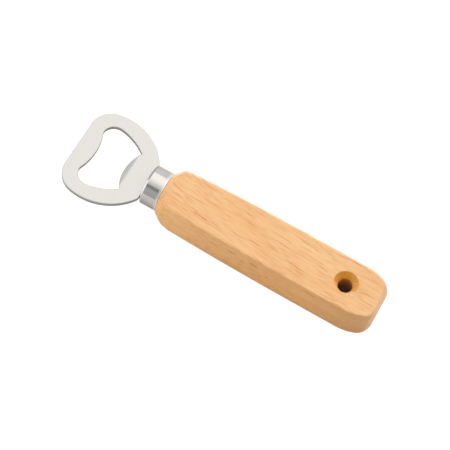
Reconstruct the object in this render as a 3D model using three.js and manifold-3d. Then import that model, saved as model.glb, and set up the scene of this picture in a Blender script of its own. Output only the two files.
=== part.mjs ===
// Souvenir bottle opener: stamped steel head, drawn ferrule, wooden handle with a hanging hole.
// Millimetres, +Z up. X runs along the opener: head at -X, butt of the handle at +X.
// The opener lies on the flat underside of its handle (z = 0). All but the hole is symmetric about y = 0.
import * as THREE from 'three';
import { mergeVertices } from 'three/addons/utils/BufferGeometryUtils.js';
import Module from 'manifold-3d';

const wasm = await Module();
wasm.setup();
const DEG = Math.PI / 180;

// Overall
const HEAD_END_X = -69.5;
const BUTT_END_X = 69.5;

// Handle: a sawn block with bowed sides, turned down at the front to meet the ferrule
const HANDLE_T = 18.8;
const HANDLE_HALF_W = 11.0;
const AXIS_Z = HANDLE_T / 2;
const BOW_R = 1600;
const BOW_END_X = 35;
const BUTT_START_X = 57;
const BUTT_R1 = 22;
const BUTT_SWEEP1 = 23 * DEG;
const BUTT_R2 = 6.4;
const EDGE_R = 0.6;
const WOOD_FRONT_X = -28.6;
const SHOULDER_R0 = 8.65;
const SHOULDER_CONE_END = [-25.9, 11.5];
const SHOULDER_ARC_R = 6;
const TENON_R = 7.7;
const TENON_FRONT_X = -35.3;

// Hanging hole: drilled a little off centre, countersunk on the top face, lower rim only just broken
const HOLE_X = 53.1;
const HOLE_Y = -0.35;
const HOLE_R = 3.05;
const SINK_R = 5.15;
const SINK_DEPTH = 2.9;
const RIM_BREAK = 0.5;

// Ferrule: a thin cup over the tenon, its closed front slotted for the tang
const FERRULE_R = 8.45;
const FERRULE_WALL = 0.6;
const FERRULE_FRONT_X = -36.4;
const FERRULE_REAR_X = -28.7;
const FERRULE_FRONT_R = 0.95;
const FERRULE_BACK_R = 0.9;
const FERRULE_LIP = 0.15;
const SLOT_CLEARANCE = 0.3;

// Head and tang: one 2 mm plate, its top face a little above the ferrule's axis
const PLATE_T = 2.0;
const PLATE_TOP = 11.3;
const PLATE_Z = PLATE_TOP - PLATE_T;
const FAR_EDGE_HALF = 10.4;
const HEAD_CORNER_R = 9.7;
const HEAD_CORNER_SWEEP = 77.7 * DEG;
const HEAD_FLANK_R = 23.75;
const HEAD_FLANK_SWEEP = 72 * DEG;
const NECK_X = -36.45;
const TANG_HALF_W = 4.5;
const TANG_END_X = -2;
const TANG_TIP_HALF_W = 3;
const TANG_TAPER = 4;

// Mouth: a far edge bulging toward the handle, two lobes, two converging sides
const MOUTH_FAR_X = -61.4;
const MOUTH_BULGE_R = 24.8;
const MOUTH_BULGE_SWEEP = 21.3 * DEG;
const LOBE_R1 = 2.6;
const LOBE_SWEEP1 = 36.9 * DEG;
const LOBE_R2 = 5.3;
const LOBE_SWEEP2 = 82.3 * DEG;
const MOUTH_SIDE_R = 25.6;
const MOUTH_SIDE_SWEEP = 28.9 * DEG;

// Cap lip: the tongue on the handle side of the mouth, bent down about a line across the head
const BEND_X = -45;
const BEND_HALF_W = 9.2;
const BEND_R = 2.4;
const BEND_SWEEP = 28 * DEG;
const LIP_FLAT = 2.1;
const LIP_PLAN_R = 17;

// Adhesive sleeve between the tang and its pocket in the wood
const GLUE_GAP = 0.1;
const GLUE_WALL = 0.5;
const POCKET_END_X = 0;

const ARC_STEP = 4 * DEG;
const ROUND_SEGMENTS = 72;

// Walks a run of tangent lines and arcs from a start point. A step is {line} or {r, sweep};
// a positive r turns left, a negative r turns right.
function run(x, y, heading, steps) {
  const points = [new THREE.Vector2(x, y)];
  for (const { line, r, sweep } of steps) {
    if (line !== undefined) {
      x += line * Math.cos(heading);
      y += line * Math.sin(heading);
      points.push(new THREE.Vector2(x, y));
      continue;
    }
    const cx = x - r * Math.sin(heading);
    const cy = y + r * Math.cos(heading);
    const count = Math.max(2, Math.ceil(sweep / ARC_STEP));
    const start = heading;
    for (let i = 1; i <= count; i += 1) {
      heading = start + (Math.sign(r) * sweep * i) / count;
      points.push(new THREE.Vector2(cx + r * Math.sin(heading), cy - r * Math.cos(heading)));
    }
    ({ x, y } = points[points.length - 1]);
  }
  return points;
}

// Closes a half outline (y >= 0) with its mirror image in y = 0
function mirrored(half) {
  const other = half.filter((p) => p.y > 1e-6).map((p) => new THREE.Vector2(p.x, -p.y));
  return [...half, ...other.reverse()];
}

// Turns a three.js geometry into a manifold solid
function solid(geometry) {
  const bare = geometry.clone();
  bare.deleteAttribute('normal');
  bare.deleteAttribute('uv');
  const merged = mergeVertices(bare, 1e-5);
  return new wasm.Manifold(new wasm.Mesh({
    numProp: 3,
    vertProperties: new Float32Array(merged.attributes.position.array),
    triVerts: new Uint32Array(merged.index.array),
  }));
}

// Plate of a plan outline between two heights
function slab(points, z0, z1) {
  const depth = z1 - z0;
  const geometry = new THREE.ExtrudeGeometry(new THREE.Shape(points), { depth, bevelEnabled: false });
  return solid(geometry.translate(0, 0, z0));
}

// Box given by its low and high corners
function box(x0, x1, y0, y1, z0, z1) {
  const geometry = new THREE.BoxGeometry(x1 - x0, y1 - y0, z1 - z0);
  return solid(geometry.translate((x0 + x1) / 2, (y0 + y1) / 2, (z0 + z1) / 2));
}

// Body turned about the opener's long axis; profile points are [x, radius]
function turned(profile) {
  const points = profile.map(([x, r]) => new THREE.Vector2(r, x));
  const geometry = new THREE.LatheGeometry(points, ROUND_SEGMENTS);
  return solid(geometry.rotateZ(-90 * DEG).translate(0, 0, AXIS_Z));
}

// Quarter-round corner of a turned profile, as [x, radius] points about a centre
function corner(cx, cr, radius, from, to) {
  const points = [];
  for (let i = 0; i <= 6; i += 1) {
    const a = from + ((to - from) * i) / 6;
    points.push([cx + radius * Math.cos(a), cr + radius * Math.sin(a)]);
  }
  return points;
}

// --- opener blade: head, neck and tang in one plate, with the bent cap lip ---
function makeBlade() {
  const flank = run(HEAD_END_X, 0, 90 * DEG, [
    { line: FAR_EDGE_HALF },
    { r: -HEAD_CORNER_R, sweep: HEAD_CORNER_SWEEP },
    { r: -HEAD_FLANK_R, sweep: HEAD_FLANK_SWEEP },
  ]);
  const neck = flank[flank.length - 1];
  const outline = mirrored([
    ...flank,
    new THREE.Vector2(NECK_X, neck.y),
    new THREE.Vector2(NECK_X, TANG_HALF_W),
    new THREE.Vector2(TANG_END_X - TANG_TAPER, TANG_HALF_W),
    new THREE.Vector2(TANG_END_X, TANG_TIP_HALF_W),
  ]);
  const mouth = mirrored([
    ...run(MOUTH_FAR_X, 0, 90 * DEG, [
      { r: MOUTH_BULGE_R, sweep: MOUTH_BULGE_SWEEP },
      { r: -LOBE_R1, sweep: LOBE_SWEEP1 },
      { r: -LOBE_R2, sweep: LOBE_SWEEP2 },
      { r: -MOUTH_SIDE_R, sweep: MOUTH_SIDE_SWEEP },
    ]),
    new THREE.Vector2(BEND_X, BEND_HALF_W),
  ]);
  const plate = slab(outline, PLATE_Z, PLATE_TOP).subtract(slab(mouth, PLATE_Z - 1, PLATE_TOP + 1));
  return plate.add(makeLip());
}

// The lip is a bent strip running across the head, trimmed by a cylinder square to its tip
function makeLip() {
  const centreZ = PLATE_TOP - BEND_R;
  const section = [new THREE.Vector2(BEND_X + 0.4, PLATE_Z), new THREE.Vector2(BEND_X + 0.4, PLATE_TOP)];
  const steps = 6;
  const along = (radius, i) => {
    const a = (BEND_SWEEP * Math.min(i, steps)) / steps;
    const rest = i > steps ? LIP_FLAT : 0;
    const x = BEND_X - radius * Math.sin(a) - rest * Math.cos(a);
    return new THREE.Vector2(x, centreZ + radius * Math.cos(a) - rest * Math.sin(a));
  };
  for (let i = 0; i <= steps + 1; i += 1) section.push(along(BEND_R, i));
  for (let i = steps + 1; i >= 0; i -= 1) section.push(along(BEND_R - PLATE_T, i));
  const width = 2 * BEND_HALF_W + 1;
  const strip = new THREE.ExtrudeGeometry(new THREE.Shape(section), { depth: width, bevelEnabled: false });
  strip.rotateX(90 * DEG).translate(0, width / 2, 0);
  const trim = new THREE.CylinderGeometry(LIP_PLAN_R, LIP_PLAN_R, 40, 180);
  const tip = along(BEND_R, steps + 1);
  trim.rotateX(90 * DEG).rotateY(-BEND_SWEEP);
  trim.translate(tip.x + LIP_PLAN_R * Math.cos(BEND_SWEEP), 0, tip.y + LIP_PLAN_R * Math.sin(BEND_SWEEP));
  return solid(strip).intersect(solid(trim));
}

// --- ferrule: drawn cup with a rounded front edge and a slight lip at the wood ---
function makeFerrule() {
  const inner = FERRULE_R - FERRULE_WALL;
  const floor = FERRULE_FRONT_X + FERRULE_WALL;
  const cup = turned([
    [FERRULE_FRONT_X, 0],
    ...corner(FERRULE_FRONT_X + FERRULE_FRONT_R, FERRULE_R - FERRULE_FRONT_R, FERRULE_FRONT_R, Math.PI, Math.PI / 2),
    [FERRULE_REAR_X - 0.6, FERRULE_R],
    [FERRULE_REAR_X, FERRULE_R + FERRULE_LIP],
    [FERRULE_REAR_X, inner],
    ...corner(floor + FERRULE_BACK_R, inner - FERRULE_BACK_R, FERRULE_BACK_R, Math.PI / 2, Math.PI),
    [floor, 0],
  ]);
  const halfW = TANG_HALF_W + SLOT_CLEARANCE;
  const z0 = PLATE_Z - SLOT_CLEARANCE;
  return cup.subtract(box(FERRULE_FRONT_X - 1, floor + 1, -halfW, halfW, z0, PLATE_TOP + SLOT_CLEARANCE));
}

// --- handle: bowed block, turned shoulder, tenon, tang pocket and countersunk hole ---
function handlePlan() {
  const bow = Math.asin((BOW_END_X - TENON_FRONT_X) / BOW_R);
  const startY = HANDLE_HALF_W - BOW_R * (1 - Math.cos(bow));
  const half = run(TENON_FRONT_X, startY, bow, [
    { r: -BOW_R, sweep: bow },
    { line: BUTT_START_X - BOW_END_X },
    { r: -BUTT_R1, sweep: BUTT_SWEEP1 },
    { r: -BUTT_R2, sweep: 90 * DEG - BUTT_SWEEP1 },
  ]);
  const end = half[half.length - 1];
  end.x = BUTT_END_X;
  return mirrored(half);
}

function makeHandle() {
  const block = new THREE.ExtrudeGeometry(new THREE.Shape(handlePlan()), {
    depth: HANDLE_T - 2 * EDGE_R,
    bevelThickness: EDGE_R,
    bevelSize: EDGE_R,
    bevelOffset: -EDGE_R,
    bevelSegments: 3,
  });
  const [coneX, coneR] = SHOULDER_CONE_END;
  const slope = Math.atan2(coneR - SHOULDER_R0, coneX - WOOD_FRONT_X);
  const arcX = coneX + SHOULDER_ARC_R * Math.sin(slope);
  const arcR = coneR - SHOULDER_ARC_R * Math.cos(slope);
  const envelope = turned([
    [TENON_FRONT_X, 0],
    [TENON_FRONT_X, TENON_R - 0.4],
    [TENON_FRONT_X + 0.4, TENON_R],
    [WOOD_FRONT_X, TENON_R],
    [WOOD_FRONT_X, SHOULDER_R0],
    ...corner(arcX, arcR, SHOULDER_ARC_R, slope + 90 * DEG, 90 * DEG),
    [arcX + 4, HANDLE_T],
    [BUTT_END_X + 1, HANDLE_T],
    [BUTT_END_X + 1, 0],
  ]);
  const halfW = TANG_HALF_W + 2 * GLUE_GAP + GLUE_WALL;
  const rise = 2 * GLUE_GAP + GLUE_WALL;
  const pocket = box(TENON_FRONT_X - 1, POCKET_END_X, -halfW, halfW, PLATE_Z - rise, PLATE_TOP + rise);
  const flare = (SINK_R - HOLE_R) / SINK_DEPTH;
  const sink = new THREE.LatheGeometry([
    new THREE.Vector2(0, -1),
    new THREE.Vector2(HOLE_R + RIM_BREAK + 1, -1),
    new THREE.Vector2(HOLE_R, RIM_BREAK),
    new THREE.Vector2(HOLE_R, HANDLE_T - SINK_DEPTH),
    new THREE.Vector2(SINK_R + flare, HANDLE_T + 1),
    new THREE.Vector2(0, HANDLE_T + 1),
  ], ROUND_SEGMENTS);
  const hole = solid(sink.rotateX(90 * DEG).translate(HOLE_X, HOLE_Y, 0));
  const body = solid(block.translate(0, 0, EDGE_R)).intersect(envelope);
  return body.subtract(pocket).subtract(hole);
}

// --- adhesive: cured sleeve filling the pocket around and behind the tang ---
function makeAdhesive() {
  const inner = TANG_HALF_W + GLUE_GAP;
  const outer = inner + GLUE_WALL;
  const z0 = PLATE_Z - GLUE_GAP;
  const z1 = PLATE_TOP + GLUE_GAP;
  const front = TENON_FRONT_X + 0.2;
  const filled = box(front, POCKET_END_X - GLUE_GAP, -outer, outer, z0 - GLUE_WALL, z1 + GLUE_WALL);
  const seat = mirrored([
    new THREE.Vector2(front - 1, 0),
    new THREE.Vector2(front - 1, inner),
    new THREE.Vector2(TANG_END_X - TANG_TAPER, inner),
    new THREE.Vector2(TANG_END_X + GLUE_GAP, TANG_TIP_HALF_W + GLUE_GAP),
    new THREE.Vector2(TANG_END_X + GLUE_GAP, 0),
  ]);
  return filled.subtract(slab(seat, z0, z1));
}

function named(name, body, look) {
  const mesh = body.getMesh();
  const geometry = new THREE.BufferGeometry();
  geometry.setAttribute('position', new THREE.BufferAttribute(new Float32Array(mesh.vertProperties), 3));
  geometry.setIndex(new THREE.BufferAttribute(new Uint32Array(mesh.triVerts), 1));
  geometry.computeVertexNormals();
  const part = new THREE.Mesh(geometry, new THREE.MeshStandardMaterial(look));
  part.name = name;
  return part;
}

const opener = new THREE.Group();
opener.name = 'bottle_opener';
opener.add(
  named('opener_blade', makeBlade(), { color: '#e7e5e1', roughness: 0.42, metalness: 1 }),
  named('ferrule', makeFerrule(), { color: '#d9d8d5', roughness: 0.14, metalness: 1 }),
  named('handle', makeHandle(), { color: '#e3ae6b', roughness: 0.5, metalness: 0 }),
  named('tang_adhesive', makeAdhesive(), { color: '#b9b2a0', roughness: 0.7, metalness: 0 }),
);

export default opener;
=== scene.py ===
import math

import bmesh
import bpy
import numpy as np
from mathutils import Matrix, Vector, noise


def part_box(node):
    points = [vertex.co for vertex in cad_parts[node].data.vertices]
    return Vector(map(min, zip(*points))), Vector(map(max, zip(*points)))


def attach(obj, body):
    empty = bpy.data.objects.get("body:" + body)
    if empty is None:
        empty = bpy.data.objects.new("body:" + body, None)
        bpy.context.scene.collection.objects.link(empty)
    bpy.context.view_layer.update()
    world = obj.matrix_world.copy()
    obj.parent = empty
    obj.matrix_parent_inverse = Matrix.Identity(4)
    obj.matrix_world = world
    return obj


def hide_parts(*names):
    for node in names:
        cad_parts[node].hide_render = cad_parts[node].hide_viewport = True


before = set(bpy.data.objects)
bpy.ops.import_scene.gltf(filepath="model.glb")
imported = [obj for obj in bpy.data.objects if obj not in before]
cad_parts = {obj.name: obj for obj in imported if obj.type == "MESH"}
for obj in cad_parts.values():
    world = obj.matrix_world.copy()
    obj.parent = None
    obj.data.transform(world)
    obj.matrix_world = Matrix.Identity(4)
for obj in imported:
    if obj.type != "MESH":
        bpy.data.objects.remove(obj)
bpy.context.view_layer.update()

MM = 0.001
DEG = math.pi / 180

# Everything below is in millimetres until a mesh is made.
# The frame's own boxes give the places; the shapes between them are built here.


def box_mm(node):
    lo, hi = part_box(node)
    return np.array(lo) / MM, np.array(hi) / MM


HANDLE_LO, HANDLE_HI = box_mm("handle")
BLADE_LO, BLADE_HI = box_mm("opener_blade")
FERRULE_LO, FERRULE_HI = box_mm("ferrule")

THICK = HANDLE_HI[2] - HANDLE_LO[2]
AXIS_Z = THICK / 2
BUTT_X = HANDLE_HI[0]
HALF_W = (HANDLE_HI[1] - HANDLE_LO[1]) / 2
TENON_X = HANDLE_LO[0]


# ---------------------------------------------------------------- mesh helpers

def new_object(name, verts, faces, sharp=32):
    """Smooth-shaded object from millimetre vertices; edges over `sharp` degrees stay hard."""
    mesh = bpy.data.meshes.new(name)
    mesh.from_pydata([tuple(v) for v in np.asarray(verts) * MM], [], faces)
    mesh.validate()
    obj = bpy.data.objects.new(name, mesh)
    bpy.context.scene.collection.objects.link(obj)
    tidy_normals(obj, sharp)
    return obj


def tidy_normals(obj, sharp=32):
    """Merges doubled vertices, turns faces outward and marks the hard edges."""
    bm = bmesh.new()
    bm.from_mesh(obj.data)
    bmesh.ops.remove_doubles(bm, verts=bm.verts, dist=1e-6)
    bmesh.ops.recalc_face_normals(bm, faces=bm.faces)
    for f in bm.faces:
        f.smooth = True
    for e in bm.edges:
        e.smooth = len(e.link_faces) != 2 or e.calc_face_angle(0) < sharp * DEG
    bm.to_mesh(obj.data)
    bm.free()


def ring_faces(rings, count, close_start=False, close_end=False):
    """Quads between consecutive closed rings of `count` vertices."""
    faces = []
    for i in range(rings - 1):
        for j in range(count):
            k = (j + 1) % count
            faces.append((i * count + j, i * count + k, (i + 1) * count + k, (i + 1) * count + j))
    if close_start:
        faces.append(tuple(range(count))[::-1])
    if close_end:
        faces.append(tuple((rings - 1) * count + j for j in range(count)))
    return faces


def lathe_x(name, profile, count=160, sharp=32):
    """Body turned about the opener's long axis from a list of (x, r); r = 0 ends close on the axis."""
    a = np.linspace(0, 2 * math.pi, count, endpoint=False)
    verts = []
    for x, r in profile:
        r = max(r, 1e-3)
        verts += [(x, r * math.cos(t), AXIS_Z + r * math.sin(t)) for t in a]
    faces = ring_faces(len(profile), count, True, True)
    return new_object(name, verts, faces, sharp)


def lathe_z(name, profile, x, y, count=128, wobble=None):
    """Body turned about a vertical axis at (x, y); wobble(angle, z) is added to the radius."""
    a = np.linspace(0, 2 * math.pi, count, endpoint=False)
    verts = []
    for r, z in profile:
        for t in a:
            rr = r + (wobble(t, z) if wobble else 0)
            verts.append((x + rr * math.cos(t), y + rr * math.sin(t), z))
    return new_object(name, verts, ring_faces(len(profile), count, True, True))


def join(obj, other):
    """Adds a closed body to another and drops it."""
    cut(obj, other, operation="UNION")


def cut(obj, *cutters, operation="DIFFERENCE"):
    """Subtracts closed cutter objects and drops them."""
    for c in cutters:
        m = obj.modifiers.new("cut", "BOOLEAN")
        m.operation = operation
        m.solver = "EXACT"
        m.object = c
    dg = bpy.context.evaluated_depsgraph_get()
    mesh = bpy.data.meshes.new_from_object(obj.evaluated_get(dg))
    obj.modifiers.clear()
    old = obj.data
    obj.data = mesh
    bpy.data.meshes.remove(old)
    for c in cutters:
        bpy.data.objects.remove(c)
    tidy_normals(obj)


def box_cutter(x0, x1, y0, y1, z0, z1):
    verts = [(x, y, z) for x in (x0, x1) for y in (y0, y1) for z in (z0, z1)]
    faces = [(0, 1, 3, 2), (4, 6, 7, 5), (0, 4, 5, 1), (2, 3, 7, 6), (0, 2, 6, 4), (1, 5, 7, 3)]
    return new_object("cutter", verts, faces)


def arc_run(x, y, heading, steps, pitch=0.25):
    """Points along a run of tangent lines (None, length) and arcs (signed radius, sweep in degrees)."""
    pts = [(x, y)]
    for r, s in steps:
        if r is None:
            n = max(1, int(s / pitch))
            for i in range(1, n + 1):
                pts.append((x + s * i / n * math.cos(heading), y + s * i / n * math.sin(heading)))
            x, y = pts[-1]
            continue
        sweep = s * DEG
        cx, cy = x - r * math.sin(heading), y + r * math.cos(heading)
        n = max(3, int(abs(r) * sweep / pitch))
        for i in range(1, n + 1):
            h = heading + math.copysign(sweep, r) * i / n
            pts.append((cx + r * math.sin(h), cy - r * math.cos(h)))
        heading += math.copysign(sweep, r)
        x, y = pts[-1]
    return pts


# ---------------------------------------------------------------- handle

BOW_R, BOW_X = 1600.0, 35.0
BUTT_START, BUTT_R1, BUTT_A1, BUTT_R2 = 57.0, 22.0, 23 * DEG, 6.4
C1 = np.array([BUTT_START, HALF_W - BUTT_R1])
C2 = C1 + (BUTT_R1 - BUTT_R2) * np.array([math.sin(BUTT_A1), math.cos(BUTT_A1)])
WOOD_X = FERRULE_HI[0] + 0.1
SHOULDER_R0, CONE_X, CONE_R, SHOULDER_ARC = 8.65, -25.25, 12.15, 4.6
SHOULDER_BLEND = 1.1
TENON_R, TENON_CHAMFER, TENON_STEP_R = 7.7, 0.4, 8.05
HOLE_X, HOLE_Y, HOLE_R = 53.1, -0.35, 3.05
SINK_R, SINK_DEPTH = 5.15, 2.9
POCKET_HALF_W, POCKET_BELOW, POCKET_ABOVE = 5.2, 2.7, 0.7
EDGE_R = 0.5
EDGE_FERRULE, EDGE_BUTT, EDGE_FAR = 0.7, 1.6, 0.9


def half_width(x):
    """Plan half-width of the handle without its rounded edges."""
    straight = HALF_W - np.where(x < BOW_X, (BOW_X - x) ** 2 / (2 * BOW_R), 0)
    a = np.where((x > C1[0]), C1[1] + np.sqrt(np.maximum(BUTT_R1**2 - (x - C1[0]) ** 2, 0)), straight)
    x2 = C1[0] + BUTT_R1 * math.sin(BUTT_A1)
    return np.where(x > x2, C2[1] + np.sqrt(np.maximum(BUTT_R2**2 - (x - C2[0]) ** 2, 0)), a)


def plan_distance(x, y):
    """Signed distance of (x, |y|) to the plan outline, and how squarely that outline faces the butt."""
    straight = y - half_width(np.minimum(x, BUTT_START))
    d1 = np.hypot(x - C1[0], y - C1[1]) - BUTT_R1
    d2 = np.hypot(x - C2[0], y - C2[1]) - BUTT_R2
    a1 = np.arctan2(x - C1[0], y - C1[1])
    a2 = np.arctan2(x - C2[0], y - C2[1])
    d = np.where(a1 > 0, d1, straight)
    d = np.where(a2 > BUTT_A1, d2, d)
    face = np.where(a2 > BUTT_A1, np.sin(a2), 0)
    flat = (y < C2[1]) & (x > C2[0] - 2)
    return np.where(flat, x - BUTT_X, d), np.where(flat, 1.0, np.clip(face, 0, 1))


def shoulder_radius(x):
    """Radius of the turned shoulder where it meets the ferrule, and its slope."""
    slope = math.atan2(CONE_R - SHOULDER_R0, CONE_X - WOOD_X)
    ax = CONE_X + SHOULDER_ARC * math.sin(slope)
    ar = CONE_R - SHOULDER_ARC * math.cos(slope)
    cone = SHOULDER_R0 + (x - WOOD_X) * math.tan(slope)
    arc = ar + np.sqrt(np.maximum(SHOULDER_ARC**2 - (np.minimum(x, ax) - ax) ** 2, 0))
    r = np.where(x < CONE_X, cone, arc)
    arc_tilt = np.arcsin(np.clip((ax - np.minimum(x, ax)) / SHOULDER_ARC, -1, 1))
    tilt = np.where(x < CONE_X, slope, arc_tilt)
    return r + np.maximum(x - ax, 0) * 2.0, np.cos(tilt)


def edge_radius(x, y, z, face):
    """Crisp near edges; rounder on top toward the ferrule and on the far side, and across the butt."""
    top = np.clip(z / 4, 0, 1)
    t = np.clip((8 - x) / 32, 0, 1) * top
    return EDGE_R + EDGE_FERRULE * t * t + EDGE_BUTT * face**3 + EDGE_FAR * np.clip(y / 8, 0, 1) * top


def smooth_max(a, b, k):
    """The larger of two fields, blended over a band k wide."""
    h = np.maximum(k - np.abs(a - b), 0) / k
    return np.maximum(a, b) + h * h * k / 4


def handle_field(x, y, z):
    """Roughly the distance to the handle's surface, negative inside; z is measured from its axis."""
    d, face = plan_distance(x, np.abs(y))
    r = edge_radius(x, y, z, face)
    q1 = d + r
    q2 = np.abs(z) - THICK / 2 + r
    block = np.minimum(np.maximum(q1, q2), 0) + np.hypot(np.maximum(q1, 0), np.maximum(q2, 0)) - r
    rs, c = shoulder_radius(x)
    return smooth_max(block, (np.hypot(y, z) - rs) * c, SHOULDER_BLEND)


def side_samples():
    """Places along one side of a square ring, from -1 to just short of 1, closest at its corners."""
    near = np.array([0.08, 0.2, 0.35, 0.5, 0.7, 0.9, 1.15, 1.5, 2.0, 2.6]) / 10.0
    mid = np.linspace(-1 + near[-1], 1 - near[-1], 17)[1:-1]
    return np.concatenate([[-1], -1 + near, mid, (1 - near)[::-1]])


def wood_stations():
    """Places along the handle that get a ring: close together at the shoulder and the butt."""
    near_end = np.array([2e-4, 0.004, 0.015, 0.04, 0.08, 0.14, 0.22, 0.32, 0.45, 0.6, 0.8, 1.1, 1.5])
    xs = np.concatenate([
        WOOD_X + np.array([0.0, 0.05, 0.12, 0.22, 0.35]),
        np.arange(WOOD_X + 0.55, -20, 0.25),
        np.arange(-20, C2[0], 1.0),
        C2[0] + BUTT_R2 * np.sin(np.radians(np.linspace(20, 78, 16))),
        BUTT_X - near_end,
    ])
    return np.unique(np.round(xs, 5))


def build_handle():
    """Rings found on the handle's field, tenon to butt, then the hole and the tang's pocket."""
    s = side_samples()
    one = np.ones_like(s)
    u = np.concatenate([s, one, -s, -one])
    v = np.concatenate([-one, s, one, -s])
    verts = []
    # tenon, hidden in the ferrule
    step = WOOD_X - 0.02
    rings = [
        (TENON_X, 0.001), (TENON_X, TENON_R - TENON_CHAMFER), (TENON_X + TENON_CHAMFER, TENON_R),
        (step, TENON_R), (step, TENON_STEP_R),
    ]
    base = np.arctan2(v * AXIS_Z, u * HALF_W)
    for x, r in rings:
        verts += [(x, r * math.cos(t), AXIS_Z + r * math.sin(t)) for t in base]
    for x in wood_stations():
        a = max(float(half_width(np.array(x))), C2[1])
        phi = np.arctan2(v * AXIS_Z, u * a)
        cy, cz = np.cos(phi), np.sin(phi)
        lo, hi = np.zeros_like(phi), np.full_like(phi, 20.0)
        for _ in range(36):
            mid = (lo + hi) / 2
            inside = handle_field(np.full_like(mid, x), mid * cy, mid * cz) < 0
            lo, hi = np.where(inside, mid, lo), np.where(inside, hi, mid)
        verts += [(x, r * c1, AXIS_Z + r * s1) for r, c1, s1 in zip(lo, cy, cz)]
    n = len(u)
    last = np.array(verts[-n:])
    centre = np.array([BUTT_X, 0, AXIS_Z])
    for k in (0.75, 0.5, 0.25, 0.02):
        verts += [tuple(centre + (p - centre) * (1, k, k)) for p in last]
    count = len(verts) // n
    obj = new_object("handle_wood", verts, ring_faces(count, n, True, True))
    pocket = box_cutter(TENON_X - 1, 0, -POCKET_HALF_W, POCKET_HALF_W,
                        BLADE_HI[2] - POCKET_BELOW, BLADE_HI[2] + POCKET_ABOVE)
    cut(obj, hole_cutter(), pocket)
    return obj


def hole_cutter():
    """The countersunk hanging hole, its rims slightly torn as drilled wood is."""
    rim_z = THICK - SINK_DEPTH

    def torn(t, z):
        edge = max(0.0, 1 - abs(z - rim_z) / 0.8)
        n1 = noise.noise(Vector((math.cos(t) * 1.6, math.sin(t) * 1.6, 4.2)))
        n2 = noise.noise(Vector((math.cos(t) * 6.0, math.sin(t) * 6.0, 9.1)))
        chip = max(0.0, 1 - abs(t - 2.45) / 0.16) * max(0.0, 1 - abs(z - rim_z - 0.1) / 0.5)
        return 0.03 * n1 + edge * (0.10 * n2 + 0.06 * n1) + 0.25 * chip

    slope = (SINK_R - HOLE_R) / SINK_DEPTH
    top = [(HOLE_R + slope * d, rim_z + d) for d in np.linspace(0, SINK_DEPTH + 0.6, 22)]
    low = [(HOLE_R + 1.1, -0.6), (HOLE_R + 0.5, 0), (HOLE_R + 0.25, 0.25), (HOLE_R, 0.5)]
    wall = [(HOLE_R, z) for z in np.linspace(0.5, rim_z, 24)][1:-1]
    return lathe_z("cutter", low + wall + top, HOLE_X, HOLE_Y, 144, torn)


# ---------------------------------------------------------------- blade

PLATE_T = 2.0
TOP_Z = BLADE_HI[2]
BEND_X, BEND_R, BEND_HALF = -45.0, 2.4, 9.2
LIP_R, LIP_SWEEP, LIP_FLAT = 17.0, 28 * DEG, 2.1
LIP_POINTS, FILLET_POINTS = 44, 12
NECK_X = -36.45
FAR_EDGE_HALF, MOUTH_FAR_X = 10.4, -61.4
TANG_HALF_W, TANG_TIP_HALF_W, TANG_END_X, TANG_TAPER = 4.5, 3, -2, 4
TOP_EDGE_R, LOW_EDGE_R = 0.3, 0.16


def resample(points, count):
    """The same run of points, evenly spaced along its length."""
    p = np.array(points)
    d = np.concatenate([[0], np.cumsum(np.hypot(*np.diff(p, axis=0).T))])
    t = np.linspace(0, d[-1], count)
    return np.c_[np.interp(t, d, p[:, 0]), np.interp(t, d, p[:, 1])]


def head_outline():
    """Upper half of the head's edge: the far edge's middle to its widest point, and on to the neck."""
    steps = [(None, FAR_EDGE_HALF), (-9.7, 77.7), (-23.75, 72)]
    far = arc_run(BLADE_LO[0], 0, 90 * DEG, steps, 0.2)
    widest = int(np.argmax([y for _, y in far]))
    flank = far[widest:]
    flank[-1] = (NECK_X, flank[-1][1])
    return far[:widest + 1], flank


def mouth_outline():
    """Upper half of the mouth: the far edge's middle to its widest point, and on to the lip's corner."""
    steps = [(24.8, 21.3), (-2.6, 36.9), (-5.3, 82.3), (-25.6, 28.9)]
    run = arc_run(MOUTH_FAR_X, 0, 90 * DEG, steps, 0.12)
    run.append((BEND_X, BEND_HALF))
    widest = int(np.argmax([y for _, y in run]))
    return run[:widest + 1], run[widest:]


def lip_edge(y):
    """How far the lip runs past the bend line at y, laid flat."""
    reach = math.sqrt(LIP_R**2 - BEND_HALF**2)
    return (np.sqrt(LIP_R**2 - y**2) - reach) / (LIP_R - reach) * (BEND_R * LIP_SWEEP + LIP_FLAT)


def bend(p):
    """Turns what lies past the bend line down, round an arc and then straight; the plate stays flat."""
    x, y, z = p[..., 0], p[..., 1], p[..., 2]
    lip = (x < BEND_X) & (np.abs(y) < BEND_HALF + 0.02) & (x > BEND_X - 5)
    s = np.where(lip, BEND_X - x, 0)
    a = np.minimum(s / BEND_R, LIP_SWEEP)
    rest = np.maximum(s - BEND_R * LIP_SWEEP, 0)
    r = BEND_R + (z - TOP_Z)
    return np.stack([np.where(lip, BEND_X - r * np.sin(a) - rest * np.cos(a), x), y,
                     np.where(lip, TOP_Z - BEND_R + r * np.cos(a) - rest * np.sin(a), z)], -1)


def toward_metal(loop, sign):
    """Unit normals of a closed loop in the plane, pointing into the plate."""
    t = np.roll(loop, -1, axis=0) - np.roll(loop, 1, axis=0)
    t /= np.maximum(np.linalg.norm(t, axis=1, keepdims=True), 1e-9)
    return sign * np.c_[t[:, 1], -t[:, 0]]


def mirrored(half):
    """Closes a half loop with its mirror image; its first and last rows lie on the centre line."""
    other = half[1:-1][::-1].copy()
    other[:, 1] *= -1
    return np.vstack([half, other])


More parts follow.
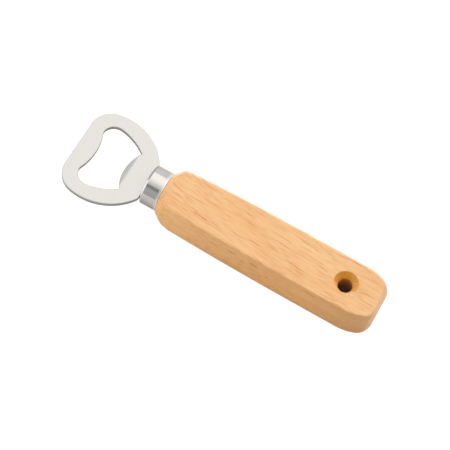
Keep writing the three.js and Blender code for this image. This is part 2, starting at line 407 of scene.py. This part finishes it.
def build_blade():
    """A ring of metal from the mouth's edge to the head's, laid flat, with the lip then rolled down."""
    out_a, out_b = head_outline()
    in_a, in_b = mouth_outline()
    corner, neck = np.array(in_b[-1]), np.array(out_b[-1])
    lip_y = np.linspace(BEND_HALF, 0, LIP_POINTS)
    lip_count = LIP_POINTS - 2
    lip = np.c_[BEND_X - lip_edge(lip_y), lip_y]
    # the corner where the mouth's side meets the lip is a small fillet
    side = resample(in_b, 60)
    before, after = side[-2] + (corner - side[-2]) * 0.3, lip[1]
    t = np.linspace(0, 1, FILLET_POINTS)[:, None]
    fillet = before * (1 - t) ** 2 + 2 * corner * t * (1 - t) + after * t * t
    # the flank's first part is matched to the mouth's side, the rest to the fillet
    flank = resample(out_b, 240)
    turn = 176
    inner = np.vstack([resample(in_a, 70)[:-1], side[:-1], fillet, lip[2:]])
    outer = np.vstack([
        resample(out_a, 70)[:-1],
        resample(flank[:turn], 60)[:-1],
        resample(flank[turn - 1:], 12),
        np.c_[np.full(lip_count, NECK_X), lip_y[2:] / BEND_HALF * neck[1]],
    ])
    is_lip = np.zeros(len(inner))
    is_lip[-lip_count:] = 1
    is_lip[-lip_count - FILLET_POINTS:-lip_count] = np.linspace(0, 1, FILLET_POINTS)
    outer[:, 1] = np.minimum(outer[:, 1], BLADE_HI[1] - 0.003)
    inner, outer, is_lip = mirrored(inner), mirrored(outer), mirrored(np.c_[is_lip, is_lip])[:, 0]
    is_lip = np.abs(is_lip)
    n_in, n_out = toward_metal(inner, -1), toward_metal(outer, 1)
    n = len(inner)

    # the knee: on the bend line behind the lip, a little inside the edge elsewhere
    knee_plain = inner + n_in * 2.2
    knee_lip = inner + n_in * 0.4
    knee_lip[:, 0] = np.maximum(BEND_X, inner[:, 0] + 0.55)
    knee = knee_plain + (knee_lip - knee_plain) * is_lip[:, None]
    past = knee + (0.25, 0) * is_lip[:, None] + n_in * (0.25 * (1 - is_lip[:, None]))

    r_top, r_low, low_z = TOP_EDGE_R, LOW_EDGE_R, TOP_Z - PLATE_T
    quarter = [(math.sin(a), math.cos(a)) for a in np.linspace(0, math.pi / 2, 5)]

    def face(r):
        """Rows across a flat face from the mouth's edge to the outer edge, both set in by r."""
        a, b = inner + n_in * (r + 0.05), outer + n_out * (r + 0.05)
        rows = [a + (knee - a) * f for f in (0, 0.17, 0.34, 0.5, 0.67, 0.84, 1)]
        return rows + [past + (b - past) * f for f in (0, 0.25, 0.5, 0.75, 1)]

    rows = [(xy, TOP_Z) for xy in face(r_top)]
    rows += [(outer + n_out * r_top * (1 - sn), TOP_Z - r_top * (1 - cs)) for sn, cs in quarter]
    rows += [(outer, TOP_Z - r_top - 0.05), (outer, low_z + r_low + 0.05)]
    rows += [(outer + n_out * r_low * (1 - cs), low_z + r_low * (1 - sn)) for sn, cs in quarter]
    rows += [(xy, low_z) for xy in face(r_low)[::-1]]
    rows += [(inner + n_in * r_low * (1 - sn), low_z + r_low * (1 - cs)) for sn, cs in quarter]
    rows += [(inner, low_z + r_low + 0.05), (inner, TOP_Z - r_top - 0.05)]
    rows += [(inner + n_in * r_top * (1 - cs), TOP_Z - r_top * (1 - sn)) for sn, cs in quarter]
    points = bend(np.vstack([np.c_[xy, np.full(n, z)] for xy, z in rows]))
    faces = ring_faces(len(rows), n)
    m = len(rows) - 1
    faces += [(m * n + j, m * n + (j + 1) % n, (j + 1) % n, j) for j in range(n)]
    head = new_object("blade_steel", points, faces, 40)
    join(head, build_tang())
    return head


def build_tang():
    """The tang, a hair thinner than the head so the two join cleanly inside the ferrule."""
    near_side = [(NECK_X - 0.8, TANG_HALF_W), (TANG_END_X - TANG_TAPER, TANG_HALF_W),
                 (TANG_END_X, TANG_TIP_HALF_W)]
    plan = near_side + [(x, -y) for x, y in near_side[::-1]]
    verts = [(x, y, z) for z in (TOP_Z - PLATE_T + 0.02, TOP_Z - 0.02) for x, y in plan]
    faces = [(5, 4, 3, 2, 1, 0), (6, 7, 8, 9, 10, 11)]
    faces += [(i, (i + 1) % 6, (i + 1) % 6 + 6, i + 6) for i in range(6)]
    return new_object("tang", verts, faces)


# ---------------------------------------------------------------- ferrule

FERRULE_R, FERRULE_WALL, FERRULE_FRONT_R = 8.45, 0.6, 0.95
RIM_R, FLARE, FLARE_RUN = 0.36, 0.14, 0.9
SLOT_CLEARANCE = 0.3
SLOT_HALF_W = TANG_HALF_W + SLOT_CLEARANCE


def build_ferrule():
    """Thin cup: rounded front corner, a slight flare to the rear and a rounded rim."""
    x0, x1 = FERRULE_LO[0], FERRULE_HI[0]
    r, wall, fr = FERRULE_R, FERRULE_WALL, FERRULE_FRONT_R
    rim, flare, flare_run = RIM_R, FLARE, FLARE_RUN
    prof = [(x0, 0)]
    for a in np.linspace(0, math.pi / 2, 18):
        prof.append((x0 + fr - fr * math.cos(a), r - fr + fr * math.sin(a)))
    start = x1 - rim - flare_run
    prof += [(x, r) for x in np.linspace(x0 + fr, start, 12)[1:]]
    for t in np.linspace(0, 1, 9)[1:]:
        prof.append((start + flare_run * t, r + flare * t * t))
    for a in np.linspace(0, math.pi / 2, 9)[1:]:
        prof.append((x1 - rim + rim * math.sin(a), r + flare - rim + rim * math.cos(a)))
    ir = r - wall
    floor = x0 + wall
    prof += [(x1, ir), (floor + 0.9, ir), (floor + 0.25, ir - 0.3), (floor, ir - 0.9), (floor, 0)]
    obj = lathe_x("ferrule_steel", prof, 224)
    cut(obj, box_cutter(x0 - 1, floor + 1, -SLOT_HALF_W, SLOT_HALF_W,
                        TOP_Z - PLATE_T - SLOT_CLEARANCE, TOP_Z + SLOT_CLEARANCE))
    return obj


# ---------------------------------------------------------------- materials

class Nodes:
    """Short names for building a node tree."""

    def __init__(self, tree):
        self.tree = tree

    def add(self, kind, **props):
        node = self.tree.nodes.new(kind)
        for key, value in props.items():
            setattr(node, key, value)
        return node

    def link(self, a, b):
        self.tree.links.new(a, b)

    def coords(self, source, scale, offset=(0, 0, 0)):
        """A vector scaled and moved, as the input of a noise."""
        m = self.add("ShaderNodeMapping")
        m.inputs["Scale"].default_value = scale
        m.inputs["Location"].default_value = offset
        self.link(source, m.inputs["Vector"])
        return m.outputs["Vector"]

    def millimetres(self):
        """The object's own coordinates, in millimetres."""
        n = self.add("ShaderNodeVectorMath", operation="SCALE")
        n.inputs["Scale"].default_value = 1000
        self.link(self.add("ShaderNodeTexCoord").outputs["Object"], n.inputs[0])
        return n.outputs[0]

    def noise(self, vector, detail=2.0, rough=0.5):
        n = self.add("ShaderNodeTexNoise")
        n.inputs["Scale"].default_value = 1.0
        n.inputs["Detail"].default_value = detail
        n.inputs["Roughness"].default_value = rough
        self.link(vector, n.inputs["Vector"])
        return n.outputs["Fac"]

    def remap(self, value, lo, hi, out_lo=0.0, out_hi=1.0, smooth=False):
        n = self.add("ShaderNodeMapRange")
        n.interpolation_type = "SMOOTHSTEP" if smooth else "LINEAR"
        for key, v in zip(("From Min", "From Max", "To Min", "To Max"), (lo, hi, out_lo, out_hi)):
            n.inputs[key].default_value = v
        self.link(value, n.inputs["Value"])
        return n.outputs["Result"]

    def math(self, op, a, b=None):
        n = self.add("ShaderNodeMath", operation=op)
        for i, v in enumerate((a, b)):
            if v is None:
                continue
            if isinstance(v, (int, float)):
                n.inputs[i].default_value = v
            else:
                self.link(v, n.inputs[i])
        return n.outputs[0]

    def mix(self, fac, a, b, mode="MIX"):
        n = self.add("ShaderNodeMix", data_type="RGBA", blend_type=mode)
        for sock, v in ((n.inputs[0], fac), (n.inputs[6], a), (n.inputs[7], b)):
            if isinstance(v, (int, float)):
                sock.default_value = v
            elif isinstance(v, tuple):
                sock.default_value = (*v, 1.0)
            else:
                self.link(v, sock)
        return n.outputs[2]

    def bump(self, height, distance, strength):
        n = self.add("ShaderNodeBump")
        n.inputs["Strength"].default_value = strength
        n.inputs["Distance"].default_value = distance
        self.link(height, n.inputs["Height"])
        return n.outputs["Normal"]

    def split(self, vector):
        """The x, y and z of a vector."""
        n = self.add("ShaderNodeSeparateXYZ")
        self.link(vector, n.inputs[0])
        return n.outputs

    def combine(self, *values):
        """A vector from its first components; the rest are 0."""
        n = self.add("ShaderNodeCombineXYZ")
        for socket, v in zip(n.inputs, values):
            self.link(v, socket)
        return n.outputs[0]

    def surface_normal(self):
        return self.split(self.add("ShaderNodeTexCoord").outputs["Normal"])

    def stain(self, colour, amount, tone):
        """The colour multiplied by a tone, where amount is 1."""
        return self.mix(amount, colour, tone, "MULTIPLY")


class Material(Nodes):
    """A new material, with its surface shader."""

    def __init__(self, name):
        self.mat = bpy.data.materials.new(name)
        self.mat.use_nodes = True
        super().__init__(self.mat.node_tree)
        self.bsdf = self.tree.nodes["Principled BSDF"]


# The longest grain marks: middle, half length and half width in mm, slope in degrees, depth of tone.
TOP_MARKS = (
    (-9.5, -6.0, 6.5, 0.26, -7, 0.8), (-13.0, -4.6, 3.0, 0.22, -6, 0.5), (13.5, -4.5, 3.6, 0.24, -8, 0.7),
    (32.0, -4.9, 4.8, 0.24, -5, 0.7), (41.0, 1.7, 3.6, 0.22, -4, 0.6), (43.0, 0.0, 3.8, 0.22, -5, 0.7),
    (62.0, -0.4, 4.4, 0.26, -6, 0.8), (63.2, -3.7, 5.0, 0.28, -4, 1.0), (33.0, 6.2, 8.0, 0.26, -7, 0.8),
    (56.0, 9.1, 6.5, 0.26, -6, 0.8), (43.6, -7.0, 3.0, 0.24, -8, 0.8), (49.5, -8.2, 2.8, 0.24, -8, 0.7),
    (-25.0, 0.8, 3.4, 0.22, -6, 0.7), (-22.0, -2.6, 3.2, 0.22, -6, 0.6), (22.0, 3.4, 6.0, 0.22, -3, 0.5),
)
SIDE_MARKS = (
    (7.4, 13.9, 3.1, 0.34, -2, 1.0), (17.3, 13.5, 2.3, 0.42, -5, 1.2), (17.0, 15.6, 2.2, 0.26, 0, 0.7),
    (12.7, 11.3, 1.2, 0.42, -4, 1.0), (17.2, 9.2, 1.9, 0.26, -16, 0.6), (41.8, 16.1, 3.6, 0.42, -12, 1.3),
    (24.3, 9.6, 0.55, 0.60, 0, 0.9), (21.5, 6.3, 0.50, 0.60, 0, 0.9), (-0.7, 12.0, 2.3, 0.28, 0, 0.6),
    (41.2, 8.0, 1.8, 0.26, -12, 0.4), (60.7, 9.9, 0.40, 0.50, 0, 0.7), (63.0, 14.3, 0.45, 0.55, 0, 0.7),
)


def grain_space(m, mm, x, y, z):
    """Where a place lies in the grain, which runs a few degrees off the axis, less toward the butt."""
    curve = m.math("MULTIPLY", m.math("MULTIPLY", x, x), -0.0007)
    drift = m.math("ADD", m.math("MULTIPLY", x, 0.105), curve)
    wander = m.remap(m.noise(m.coords(mm, (0.02, 0.06, 0.06))), 0.3, 0.7, -0.8, 0.8)
    across = m.math("ADD", m.math("ADD", y, drift), wander)
    return m.combine(x, across, m.math("ADD", z, m.math("MULTIPLY", x, 0.03)))


def wood_grain(m, x, grain):
    """Colour of the plain wood, with its finest noise and its vessel lines."""

    def layer(along, across, offset, detail=2.0, rough=0.5):
        return m.noise(m.coords(grain, (along, across, across), offset), detail, rough)

    broad = layer(0.022, 0.14, (9, 2, 5))
    patch = layer(0.045, 0.20, (1, 4, 8))
    streak = layer(0.05, 1.15, (3, 7, 1), 1.0)
    thin = layer(0.075, 3.6, (11, 3, 6), 1.0)
    fine = layer(0.12, 4.0, (0, 0, 0), 3.0, 0.6)
    vessel = layer(0.11, 2.6, (5, 1, 3), 1.0, 0.4)
    group = layer(0.05, 0.20, (2, 8, 6), 1.0, 0.4)

    busy = m.remap(x, -22, 14, 0.85, 0.68, True)
    lines = m.math("MULTIPLY", m.remap(thin, 0.54, 0.66, 0, 1, True), busy)
    grouped = m.remap(group, 0.44, 0.58, 0.1, 1, True)
    dash = m.math("MULTIPLY", m.remap(vessel, 0.60, 0.68, 0, 1, True), grouped)

    col = m.mix(m.remap(broad, 0.38, 0.62), (0.855, 0.510, 0.240), (0.885, 0.560, 0.275))
    col = m.stain(col, m.remap(patch, 0.48, 0.70, 0, 0.8, True), (0.98, 0.92, 0.86))
    col = m.stain(col, m.remap(streak, 0.50, 0.68, 0, 1, True), (0.985, 0.93, 0.90))
    col = m.stain(col, lines, (0.86, 0.62, 0.53))
    col = m.stain(col, m.remap(fine, 0.48, 0.75, 0, 1), (0.92, 0.85, 0.81))
    col = m.stain(col, m.math("MULTIPLY", dash, busy), (0.82, 0.60, 0.52))
    return col, fine, dash


def tint_faces(m, col, x, normal):
    """The sides get painted shade: deeper than the top, lightest toward the ferrule and darkest toward
    the butt. The butt's end face and rounded top edge get a greyer tone, paler on the end face, which is
    partly end grain and partly a painted sheen. The far top edge gets a painted pale highlight.
    """
    # Painted shade on the sides: deeper than the top, lightest toward the ferrule, darkest toward the
    # butt.
    side = m.remap(m.math("ABSOLUTE", normal[2]), 0.75, 0.2, 0, 1, True)
    side_shade_tone = m.mix(m.remap(x, -24, 6, 0, 1, True), (1.08, 1.06, 0.92), (0.96, 0.87, 0.67))
    side_shade_tone = m.mix(m.remap(x, 38, 62, 0, 1, True), side_shade_tone, (0.84, 0.75, 0.58))
    col = m.stain(col, side, side_shade_tone)

    # End grain tone plus a painted sheen on the butt's end face and its rounded top edge, paler on the
    # end face.
    upright = m.remap(normal[2], 0.75, 0.35, 0, 1, True)
    near = m.math("MINIMUM", normal[1], 0.0)
    squarely = m.math("ADD", normal[0], m.math("MULTIPLY", near, 0.7))
    end = m.mix(upright, m.remap(squarely, 0.12, 0.24, 0, 1, True),
                m.remap(normal[0], 0.72, 0.84, 0, 1, True))
    col = m.stain(col, end, m.mix(upright, (0.80, 0.90, 1.24), (1.08, 1.26, 1.95)))

    # Painted pale highlight along the far top edge.
    far = m.remap(normal[1], 0.12, 0.4, 0, 1, True)
    return m.stain(col, m.math("MULTIPLY", far, m.remap(normal[2], 0.1, 0.4)), (1.10, 1.45, 2.4))


def grain_marks(m, x, across, table):
    """How deep a table's marks are at a place; 0 where there is none."""
    plane = m.combine(x, across)
    total = 0.0
    for x0, v0, long, wide, slope, depth in table:
        to = m.add("ShaderNodeMapping", vector_type="TEXTURE")
        to.inputs["Location"].default_value = (x0, v0, 0)
        to.inputs["Rotation"].default_value = (0, 0, slope * DEG)
        to.inputs["Scale"].default_value = (long, wide, 1)
        m.link(plane, to.inputs["Vector"])
        far = m.add("ShaderNodeVectorMath", operation="LENGTH")
        m.link(to.outputs[0], far.inputs[0])
        mark = m.remap(far.outputs["Value"], 1.15, 0.45, 0, depth, True)
        total = m.math("MAXIMUM", mark, total)
    return total


def stain_marks(m, col, mm, x, y, z, normal, fine):
    """The few marks long or dark enough to be told apart, on the top and on the near side."""
    ragged = m.remap(m.noise(m.coords(mm, (0.25, 1.6, 1.6))), 0.3, 0.7, -0.28, 0.28)
    broken = m.remap(fine, 0.3, 0.6, 0.7, 1.0)
    on_top = m.remap(normal[2], 0.5, 0.9)
    near_side = m.remap(normal[1], -0.5, -0.9)
    for across, table, facing, tone in (
        (y, TOP_MARKS, on_top, (0.80, 0.53, 0.42)),
        (z, SIDE_MARKS, near_side, (0.62, 0.44, 0.33)),
    ):
        depth = m.math("MULTIPLY", grain_marks(m, x, m.math("ADD", across, ragged), table), broken)
        col = m.stain(col, m.math("MULTIPLY", depth, facing), tone)
    return col


def tint_hole(m, col, mm, x, y, z):
    """The drilled hole shows end grain. Its far wall is darker, partly end grain and partly painted
    shade; it is paler and greyer toward the butt; deeper down it gets painted shade.
    """
    reach = m.add("ShaderNodeVectorMath", operation="DISTANCE")
    m.link(m.combine(x, y), reach.inputs[0])
    reach.inputs[1].default_value = (HOLE_X, HOLE_Y, 0)
    within = m.remap(reach.outputs["Value"], SINK_R + 0.17, SINK_R - 0.05)
    inside = m.math("MULTIPLY", within, m.remap(z, THICK - 0.02, THICK - 0.25))

    # Far wall darker: partly end grain, partly painted shade.
    away = m.math("SUBTRACT", y, m.math("MULTIPLY", m.math("SUBTRACT", x, HOLE_X), 0.4))
    cone = m.mix(m.remap(away, -3.0, 3.5, 0, 1, True), (0.96, 0.74, 0.32), (0.78, 0.62, 0.17))
    # Paler and greyer toward the butt.
    toward_butt = m.remap(x, HOLE_X - 4, HOLE_X + 4, 0, 1, True)
    cone = m.stain(cone, 1.0, m.mix(toward_butt, (1.22, 1.06, 0.92), (1.12, 1.34, 2.0)))
    rough = m.noise(m.coords(mm, (2.4, 2.4, 2.4)), 2.0, 0.6)
    cone = m.stain(cone, m.remap(rough, 0.52, 0.66, 0, 0.8, True), (0.80, 0.70, 0.55))

    # Painted shade deeper down in the hole, darker and greyer.
    wall = m.mix(m.remap(z, THICK - 4, THICK - 8, 0, 1, True), (0.86, 0.70, 0.44), (0.60, 0.60, 0.85))
    rim_z = THICK - SINK_DEPTH
    tint = m.mix(m.remap(z, rim_z + 0.2, rim_z - 0.2), cone, wall)
    return m.mix(inside, col, m.stain(col, 1.0, tint))


def wood_material():
    """Light hardwood: long soft streaks, thin pinkish ones and short dark vessel lines."""
    m = Material("light_wood")
    mm = m.millimetres()
    x, y, z = m.split(mm)
    normal = m.surface_normal()
    col, fine, dash = wood_grain(m, x, grain_space(m, mm, x, y, z))
    col = tint_faces(m, col, x, normal)
    col = stain_marks(m, col, mm, x, y, z, normal, fine)
    col = tint_hole(m, col, mm, x, y, z)
    m.link(col, m.bsdf.inputs["Base Color"])
    m.link(m.remap(fine, 0.3, 0.7, 0.40, 0.52), m.bsdf.inputs["Roughness"])
    m.bsdf.inputs["Specular IOR Level"].default_value = 0.4
    relief = m.math("SUBTRACT", m.math("MULTIPLY", fine, 0.5), dash)
    m.link(m.bump(relief, 0.00006, 0.6), m.bsdf.inputs["Normal"])
    return m.mat


# Ferrule tones: a painted highlight, a painted grey reflection and a painted shade line.
PAINTED_HIGHLIGHT_STEEL, PAINTED_GREY_REFLECTION_STEEL, PAINTED_SHADE_STEEL = (0.97, 0.97, 0.96), (0.66, 0.65, 0.64), (0.36, 0.36, 0.355)


def steel_material(name, base, rough_lo, rough_hi, grain, bump_mm, edge=None, ring=None):
    """Metal with faint clouding; `edge` is the tone of its upright walls, partly the sheared edge's own
    duller tone and partly a painted dark reflection.

    `ring` is three places along x: the polished part's front and rear, and where a painted highlight
    along the rim starts.
    What lies outside the polished part is rougher: the rounded front gets a painted highlight on its near
    side and a painted shade line elsewhere, and the band before the rim gets a painted grey reflection.
    """
    m = Material(name)
    mm = m.millimetres()
    fine = m.noise(m.coords(mm, grain), 4.0, 0.6)
    cloud = m.noise(m.coords(mm, (0.12, 0.12, 0.12)), 3.0, 0.5)
    m.bsdf.inputs["Metallic"].default_value = 1.0
    dark = tuple(c * 0.95 for c in base)
    col = m.mix(m.remap(cloud, 0.3, 0.7), dark, base)
    clouded = m.remap(cloud, 0.3, 0.7, -0.03, 0.03)
    rough = m.math("ADD", m.remap(fine, 0.3, 0.7, rough_lo, rough_hi), clouded)
    if edge is not None:
        # Upright walls: the sheared edge's torn tone plus a painted dark reflection.
        wall = m.remap(m.math("ABSOLUTE", m.surface_normal()[2]), 0.25, 0.02, 0, 1, True)
        tears = m.remap(m.noise(m.coords(mm, (1.2, 1.2, 0.25)), 3.0, 0.6), 0.3, 0.7, 0.85, 1.0)
        col = m.mix(m.math("MULTIPLY", wall, tears), col, edge)
    if ring is not None:
        x, y, _ = m.split(mm)
        front = m.remap(x, ring[0] + 0.1, ring[0] - 0.1, 0, 1, True)
        rear = m.remap(x, ring[1] - 0.12, ring[1] + 0.12, 0, 1, True)
        rim = m.remap(x, ring[2] - 0.06, ring[2] + 0.06, 0, 1, True)
        # The rounded front: painted highlight on its near side, a painted shade line elsewhere.
        turned = m.mix(m.remap(y, -1.2, -3.4, 0, 1, True), PAINTED_SHADE_STEEL, PAINTED_HIGHLIGHT_STEEL)
        # Painted grey reflection on the band before the rim.
        col = m.mix(rear, m.mix(front, col, turned), PAINTED_GREY_REFLECTION_STEEL)
        # Painted highlight along the rim.
        col = m.mix(rim, col, PAINTED_HIGHLIGHT_STEEL)
        rough = m.math("MAXIMUM", rough, m.math("MULTIPLY", m.math("MAXIMUM", front, rear), 0.42))
    m.link(col, m.bsdf.inputs["Base Color"])
    m.link(rough, m.bsdf.inputs["Roughness"])
    m.link(m.bump(fine, bump_mm * MM, 0.5), m.bsdf.inputs["Normal"])
    return m.mat


def resin_material():
    """Cured adhesive, a mottled tan."""
    m = Material("cured_resin")
    co = m.add("ShaderNodeTexCoord").outputs["Object"]
    n = m.noise(m.coords(co, (500, 500, 500)), 3.0, 0.5)
    mottled = m.mix(m.remap(n, 0.3, 0.7), (0.42, 0.37, 0.27), (0.52, 0.47, 0.37))
    m.link(mottled, m.bsdf.inputs["Base Color"])
    m.link(m.remap(n, 0.3, 0.7, 0.45, 0.65), m.bsdf.inputs["Roughness"])
    m.link(m.bump(n, 0.0001, 0.4), m.bsdf.inputs["Normal"])
    return m.mat


# ---------------------------------------------------------------- the pieces

handle = build_handle()
handle.data.materials.clear()
handle.data.materials.append(wood_material())
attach(handle, "root")
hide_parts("handle")

blade = build_blade()
# The blade's wall tone below is partly a painted dark reflection.
blade.data.materials.append(steel_material(
    "satin_steel", (0.575, 0.57, 0.56), 0.34, 0.44, (3, 3, 3), 0.004, edge=(0.30, 0.30, 0.295)))
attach(blade, "root")
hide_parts("opener_blade")

ferrule = build_ferrule()
ferrule.data.materials.clear()
# The ferrule's front, rear band and rim carry painted highlights, a painted shade line and a painted grey
# reflection.
polished = (FERRULE_LO[0] + 0.85, FERRULE_HI[0] - 1.2, FERRULE_HI[0] - 0.42)
ferrule.data.materials.append(steel_material(
    "polished_steel", (0.59, 0.575, 0.56), 0.06, 0.13, (6, 0.5, 0.5), 0.001, ring=polished))
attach(ferrule, "root")
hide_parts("ferrule")

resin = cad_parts["tang_adhesive"]
for slot in resin.material_slots:
    slot.material = resin_material()


# ---------------------------------------------------------------- studio

# Light levels of the tent: its walls in front and behind, and the overhead panel at its back and front.
FRONT_L, BACK_L = 0.6, 1.0
TOP_L, TOP_FRONT_L = 1.6, 0.85
GAP_DIM = 0.42
# Patches of the tent: direction, size and soft edge in degrees, and how much is taken away or added.
# The first is a wall beyond the head, which the lip's slope mirrors; the second faces the butt's corner.
DIM_PATCHES = (
    ((-0.83, 0.41, 0.36), 26, 12, 0.16),
    ((0.62, -0.78, 0.05), 34, 18, 0.45),
)
SIDE_PANELS = (
    ((-0.86, -0.45, 0.12), 16, 6, 1.6),
    ((0.90, 0.36, 0.15), 13, 5, 1.2),
)
SHEET_HALF = 3.0


def make_sheet(name, z, material):
    """A large flat square at height z metres, part of the studio."""
    mesh = bpy.data.meshes.new(name)
    s = SHEET_HALF
    mesh.from_pydata([(-s, -s, z), (s, -s, z), (s, s, z), (-s, s, z)], [], [(0, 1, 2, 3)])
    obj = bpy.data.objects.new(name, mesh)
    bpy.context.scene.collection.objects.link(obj)
    obj.data.materials.append(material)
    return obj


def floor_material(albedo, glow):
    """Matt floor that can glow a little by itself."""
    m = Material("pale_floor")
    m.bsdf.inputs["Base Color"].default_value = (albedo, albedo, albedo, 1)
    m.bsdf.inputs["Roughness"].default_value = 0.9
    m.bsdf.inputs["Specular IOR Level"].default_value = 0.0
    m.bsdf.inputs["Emission Color"].default_value = (1, 1, 1, 1)
    m.bsdf.inputs["Emission Strength"].default_value = glow
    # open from below, so the underside can be looked at
    clear = m.add("ShaderNodeBsdfTransparent")
    mix = m.add("ShaderNodeMixShader")
    m.link(m.add("ShaderNodeNewGeometry").outputs["Backfacing"], mix.inputs[0])
    m.link(m.bsdf.outputs[0], mix.inputs[1])
    m.link(clear.outputs[0], mix.inputs[2])
    m.link(mix.outputs[0], m.tree.nodes["Material Output"].inputs["Surface"])
    return m.mat


def soft_box(place, target, size, watts):
    """A square lamp beside the head, lighting the near side of the handle from the front."""
    data = bpy.data.lights.new("soft_box", "AREA")
    data.shape, data.size, data.energy = "SQUARE", size, watts
    obj = bpy.data.objects.new("soft_box", data)
    bpy.context.scene.collection.objects.link(obj)
    obj.location = place
    obj.rotation_euler = (Vector(target) - Vector(place)).to_track_quat("-Z", "Y").to_euler()
    obj.visible_glossy = obj.visible_camera = False


def make_floor():
    """White floor for the eye, and a greyer one for the bounce light."""
    shown = make_sheet("floor", -0.0002, floor_material(0.35, 0.86))
    shown.visible_diffuse = shown.visible_glossy = shown.visible_shadow = False
    bounce = make_sheet("floor_bounce", -0.0004, floor_material(0.84, 0.0))
    bounce.visible_camera = False


def make_tent():
    """A light tent as the world: plain white to the eye, shaped for what lights the object."""
    world = bpy.data.worlds.new("light_tent")
    world.use_nodes = True
    bpy.context.scene.world = world
    w = Nodes(world.node_tree)
    x, y, z = w.split(w.add("ShaderNodeTexCoord").outputs["Generated"])
    overhead = w.math("MAXIMUM", z, 0.02)
    u, v = w.math("DIVIDE", x, overhead), w.math("DIVIDE", y, overhead)

    def between(value, lo, hi, soft_lo, soft_hi):
        rise = w.remap(value, lo - soft_lo, lo + soft_lo, 0, 1, True)
        fall = w.remap(value, hi - soft_hi, hi + soft_hi, 1, 0, True)
        return w.math("MULTIPLY", rise, fall)

    def patch(direction, size, soft):
        d = Vector(direction).normalized()
        dot = w.math("ADD", w.math("ADD", w.math("MULTIPLY", x, d.x), w.math("MULTIPLY", y, d.y)),
                     w.math("MULTIPLY", z, d.z))
        return w.remap(dot, math.cos((size + soft) * DEG), math.cos((size - soft) * DEG), 0, 1, True)

    def without(level, mask):
        return w.math("MULTIPLY", level, w.math("SUBTRACT", 1.0, mask))

    # walls: brighter behind the object than in front of it
    level = w.remap(y, -0.25, 0.25, FRONT_L, BACK_L, True)
    # overhead panel, brightest at the back, dimming toward the front
    over = w.math("MULTIPLY", between(v, -0.53, 1.25, 0.03, 0.12), between(u, -1.25, 1.6, 0.45, 0.45))
    panel = w.remap(v, -0.53, 0.35, TOP_FRONT_L, TOP_L, True)
    level = w.math("ADD", without(level, over), w.math("MULTIPLY", panel, over))
    # the dark gap under the front of the panel, where the lens looks in
    gap = w.math("MULTIPLY", between(v, -1.05, -0.53, 0.28, 0.03), between(u, -1.0, 1.0, 0.2, 0.2))
    level = without(level, w.math("MULTIPLY", gap, GAP_DIM))
    for direction, size, soft, loss in DIM_PATCHES:
        level = without(level, w.math("MULTIPLY", patch(direction, size, soft), loss))
    for direction, size, soft, gain in SIDE_PANELS:
        level = w.math("ADD", level, w.math("MULTIPLY", patch(direction, size, soft), gain))

    seen = w.add("ShaderNodeLightPath").outputs["Is Camera Ray"]
    background = w.tree.nodes["Background"]
    white = (1.0, 1.0, 1.0)
    w.link(w.mix(seen, w.mix(over, white, (1.0, 0.975, 0.925)), white), background.inputs["Color"])
    w.link(w.math("ADD", without(level, seen), seen), background.inputs["Strength"])


# The product shot's angle: from the handle's side, high up, the frame tilted clockwise. Metres.
AZIMUTH, ELEVATION, ROLL = 14.614 * DEG, 64.723 * DEG, 15.809 * DEG
DISTANCE, FOCAL = 0.7187, 140.7
AIM = Vector((-0.00216, 0.00462, 0))


def make_camera():
    """The camera at the product shot's angle."""
    flat = math.cos(ELEVATION)
    back = Vector((math.sin(AZIMUTH) * flat, -math.cos(AZIMUTH) * flat, math.sin(ELEVATION)))
    right = Vector((math.cos(AZIMUTH), math.sin(AZIMUTH), 0))
    up = back.cross(right)
    across = right * math.cos(ROLL) + up * math.sin(ROLL)
    upward = up * math.cos(ROLL) - right * math.sin(ROLL)
    place = AIM + back * DISTANCE
    data = bpy.data.cameras.new("camera")
    data.lens, data.sensor_width = FOCAL, 36
    data.clip_start, data.clip_end = 0.01, 20
    cam = bpy.data.objects.new("camera", data)
    bpy.context.scene.collection.objects.link(cam)
    rows = [(a, u, b, p) for a, u, b, p in zip(across, upward, back, place)]
    cam.matrix_world = Matrix(rows + [(0, 0, 0, 1)])
    bpy.context.scene.camera = cam


make_floor()
make_tent()
soft_box((-0.15, -0.15, 0.05), (-0.03, 0, 0.01), 0.10, 0.05)
make_camera()
bpy.context.scene.view_settings.view_transform = "Standard"
